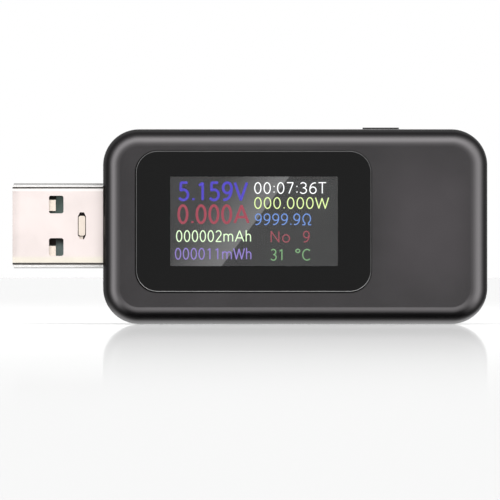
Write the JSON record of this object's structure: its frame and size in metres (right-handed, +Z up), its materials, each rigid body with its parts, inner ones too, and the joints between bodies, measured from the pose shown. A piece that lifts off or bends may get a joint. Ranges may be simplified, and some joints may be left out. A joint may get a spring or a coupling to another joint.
{
  "type": "usb power meter",
  "caption": "In-line power meter stick with a type A plug on one end, a type A socket in the other, a colour display window and a push button on its top edge.",
  "frame": {"origin": "on the surface that the meter stands on, below the middle of its length from the plug's tip to the socket end and of its thickness", "axes": "+X along the stick, from the plug to the socket end; -Y out of the display; +Z up, towards the button on the top edge"},
  "size_m": [0.067, 0.013, 0.0278],
  "materials": {
    "casing_plastic": "fine satin, dark grey",
    "button_plastic": "fine satin, dark grey",
    "clear_window": "clear polished acrylic",
    "black_ink": "printed black behind the window",
    "black_tape": "thin foam tape",
    "polariser_film": "smooth film",
    "display_glass": "polished, cut edges",
    "bare_chip": "polished silicon",
    "light_guide": "translucent white",
    "white_plastic": "moulded",
    "flex_film": "amber film",
    "foam": "closed-cell foam",
    "board_laminate": "green solder mask",
    "chip_epoxy": "moulded epoxy",
    "tinned_metal": "bright tin",
    "resistor_black": "glazed",
    "copper_terminal": "copper",
    "ferrite": "ground ferrite",
    "crystal_can": "drawn steel can",
    "capacitor_ceramic": "sintered tan ceramic",
    "thermistor_bead": "coated bead",
    "switch_steel": "stamped sheet",
    "spring_steel": "thin spring sheet",
    "plunger_plastic": "moulded",
    "plug_steel": "bright nickel plate",
    "socket_steel": "nickel plate",
    "insert_plastic": "moulded, cream",
    "gold_contact": "thin gold plate"
  },
  "bodies": {
    "meter": {"front_shell": "casing_plastic", "rear_shell": "casing_plastic", "window_lens": "clear_window", "window_mask": "black_ink", "window_tape": "black_tape", "lcd_polariser": "polariser_film", "lcd_front_glass": "display_glass", "lcd_rear_glass": "display_glass", "lcd_driver_chip": "bare_chip", "lcd_light_guide": "light_guide", "lcd_frame": "white_plastic", "lcd_flex": "flex_film", "lcd_foam_pad": "foam", "main_board": "board_laminate", "microcontroller": "chip_epoxy", "microcontroller_pins": "tinned_metal", "amplifier_chip": "chip_epoxy", "amplifier_pins": "tinned_metal", "memory_chip": "chip_epoxy", "memory_pins": "tinned_metal", "regulator_chip": "chip_epoxy", "regulator_pins": "tinned_metal", "shunt_resistor": "resistor_black", "shunt_terminals": "copper_terminal", "diode": "chip_epoxy", "diode_terminals": "tinned_metal", "inductor": "ferrite", "crystal": "crystal_can", "capacitors": "capacitor_ceramic", "capacitor_terminals": "tinned_metal", "resistors": "resistor_black", "resistor_terminals": "tinned_metal", "thermistor": "thermistor_bead", "switch_base": "chip_epoxy", "switch_cover": "switch_steel", "switch_dome": "spring_steel", "switch_pins": "tinned_metal", "plug_shell": "plug_steel", "plug_insert": "insert_plastic", "plug_contact_power": "gold_contact", "plug_contact_data_minus": "gold_contact", "plug_contact_data_plus": "gold_contact", "plug_contact_ground": "gold_contact", "socket_shell": "socket_steel", "socket_springs": "socket_steel", "socket_insert": "insert_plastic", "socket_contact_power": "gold_contact", "socket_contact_data_minus": "gold_contact", "socket_contact_data_plus": "gold_contact", "socket_contact_ground": "gold_contact"},
    "button": {"button_cap": "button_plastic"},
    "switch_press": {"switch_plunger": "plunger_plastic"}
  },
  "joints": [
    {"name": "button_press", "type": "slide", "parent": "meter", "child": "button", "axis": [0, 0, -1], "range_m": [0, 0.00025], "stiffness_N_per_m": 3000, "springref_m": -0.0001},
    {"name": "switch_plunger_press", "type": "slide", "parent": "meter", "child": "switch_press", "axis": [0, 0, -1], "range_m": [0, 0.00025], "deforming": ["switch_dome"]}
  ],
  "couplings": [
    {"joint": "switch_plunger_press", "follows": "button_press", "ratio": 1}
  ]
}
